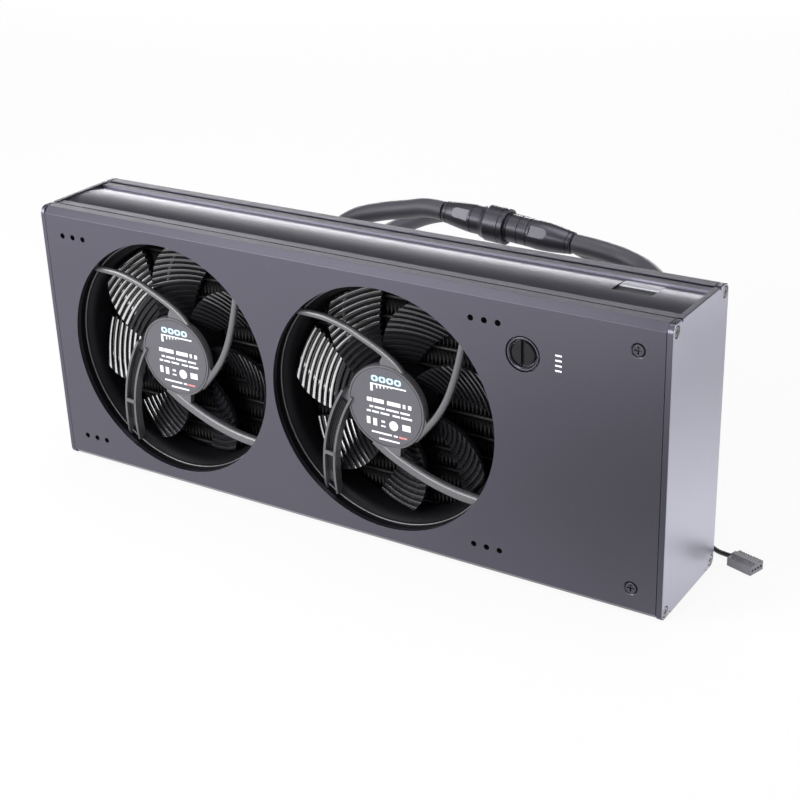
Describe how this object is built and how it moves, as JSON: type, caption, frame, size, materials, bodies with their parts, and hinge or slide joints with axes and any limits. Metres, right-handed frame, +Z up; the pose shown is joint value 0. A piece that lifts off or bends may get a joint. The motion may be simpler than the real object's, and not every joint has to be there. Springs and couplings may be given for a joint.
{
  "type": "all in one cpu liquid cooler",
  "caption": "External liquid cooler in a slim aluminium case with fans, radiator, reservoir, pump and coupled rubber hoses.",
  "frame": {"origin": "middle of the case's underside, on the surface that it stands on", "axes": "+X along the case towards the reservoir and pump end, +Y out of its back, +Z up"},
  "size_m": [0.4081, 0.2228, 0.155],
  "materials": {
    "anodised_dark": "satin, dark grey anodised",
    "anodised_light": "satin, light grey anodised",
    "screw_steel": "bright",
    "black_screw": "semi-gloss black",
    "fan_plastic": "fine matt black",
    "rotor_plastic": "semi-gloss black",
    "label_foil": "matt grey foil",
    "shaft_steel": "ground",
    "brass": "plain",
    "copper": "enamelled winding",
    "magnet_black": "matt",
    "radiator_black": "satin black",
    "foam": "closed-cell foam",
    "clear_plastic": "clear moulded plastic",
    "black_plastic": "satin",
    "gloss_black": "gloss",
    "rubber": "smooth matt",
    "coupling_black": "satin black anodised",
    "ceramic": "ground ceramic",
    "plug_grey": "satin",
    "cable_black": "satin sleeve"
  },
  "bodies": {
    "case": {"bottom_cover": "anodised_dark", "control_lead": "cable_black", "coupling_half_left": "coupling_black", "coupling_half_right": "coupling_black", "end_plate_left": "anodised_light", "end_plate_right": "anodised_light", "fill_ring": "anodised_dark", "fill_seal": "rubber", "front_panel": "anodised_dark", "hose_long": "rubber", "hose_short": "rubber", "inlet_pipe": "black_plastic", "lead_grommet": "rubber", "lead_plug": "plug_grey", "left_fan_bearing": "brass", "left_fan_frame": "fan_plastic", "left_fan_label": "label_foil", "left_fan_lead": "cable_black", "left_fan_stator": "copper", "left_plate_screw_1": "screw_steel", "left_plate_screw_2": "screw_steel", "left_plate_screw_3": "screw_steel", "left_plate_screw_4": "screw_steel", "level_window": "gloss_black", "panel_screw_bottom": "black_screw", "panel_screw_top": "black_screw", "pump_bracket": "anodised_dark", "pump_motor": "black_plastic", "pump_seal": "rubber", "pump_shaft": "ceramic", "pump_volute": "black_plastic", "radiator_core": "radiator_black", "radiator_gasket": "foam", "radiator_tank_left": "radiator_black", "radiator_tank_right": "radiator_black", "rear_panel": "anodised_dark", "reservoir": "clear_plastic", "return_fitting": "coupling_black", "right_fan_bearing": "brass", "right_fan_frame": "fan_plastic", "right_fan_label": "label_foil", "right_fan_lead": "cable_black", "right_fan_stator": "copper", "right_plate_screw_1": "screw_steel", "right_plate_screw_2": "screw_steel", "right_plate_screw_3": "screw_steel", "right_plate_screw_4": "screw_steel", "supply_fitting": "coupling_black", "supply_pipe": "black_plastic", "top_cover": "anodised_dark"},
    "left_fan_rotor": {"left_fan_rotor": "rotor_plastic", "left_fan_shaft": "shaft_steel", "left_fan_magnet": "magnet_black"},
    "right_fan_rotor": {"right_fan_rotor": "rotor_plastic", "right_fan_shaft": "shaft_steel", "right_fan_magnet": "magnet_black"},
    "pump_impeller": {"pump_impeller": "black_plastic"},
    "fill_plug": {"fill_plug": "anodised_dark"},
    "coupling_collar": {"coupling_collar": "coupling_black"}
  },
  "joints": [
    {"name": "left_fan_spin", "type": "hinge", "parent": "case", "child": "left_fan_rotor", "pos_m": [-0.1071, -0.0135, 0.0775], "axis": [0, 1, 0], "continuous": true},
    {"name": "right_fan_spin", "type": "hinge", "parent": "case", "child": "right_fan_rotor", "pos_m": [0.0329, -0.0135, 0.0775], "axis": [0, 1, 0], "continuous": true},
    {"name": "pump_impeller_spin", "type": "hinge", "parent": "case", "child": "pump_impeller", "pos_m": [0.159, -0.0005, 0.045], "axis": [0, 0, 1], "continuous": true},
    {"name": "fill_plug_turn", "type": "hinge", "parent": "case", "child": "fill_plug", "pos_m": [0.116, -0.03, 0.1263], "axis": [0, -1, 0], "continuous": true},
    {"name": "coupling_collar_turn", "type": "hinge", "parent": "case", "child": "coupling_collar", "pos_m": [0.0282, 0.0995, 0.13821], "axis": [0.9969, 0, -0.0784], "range_deg": [0, 120]}
  ]
}
